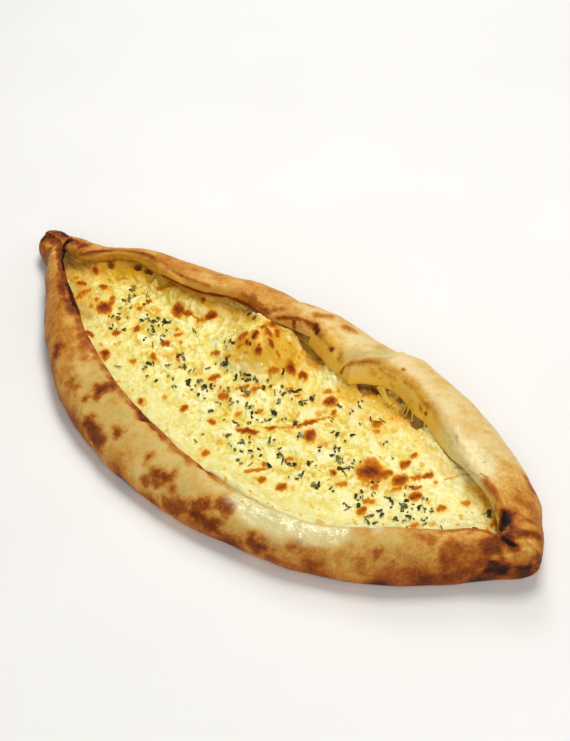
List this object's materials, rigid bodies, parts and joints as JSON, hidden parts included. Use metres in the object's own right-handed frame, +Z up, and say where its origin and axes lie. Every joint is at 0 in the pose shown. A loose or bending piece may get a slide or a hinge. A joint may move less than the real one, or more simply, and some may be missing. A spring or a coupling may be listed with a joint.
{
  "type": "turkish pide",
  "caption": "Boat-shaped baked flatbread with edges folded in over melted cheese, a twisted knob at one end, a blunt pinched end at the other, and dried herbs.",
  "frame": {"origin": "centre of the overall box in plan, on the table under the flat base", "axes": "+X along the length, from the twisted knob to the blunt pinched end; +Y towards the tall folded rim; +Z up"},
  "size_m": [0.336, 0.1484, 0.0328],
  "materials": {
    "crust": "satin",
    "cheese": "glossy",
    "rim_cheese": "glossy"
  },
  "bodies": {
    "root": {"crust": "crust", "cheese": "cheese", "rim_cheese": "rim_cheese"}
  },
  "joints": []
}
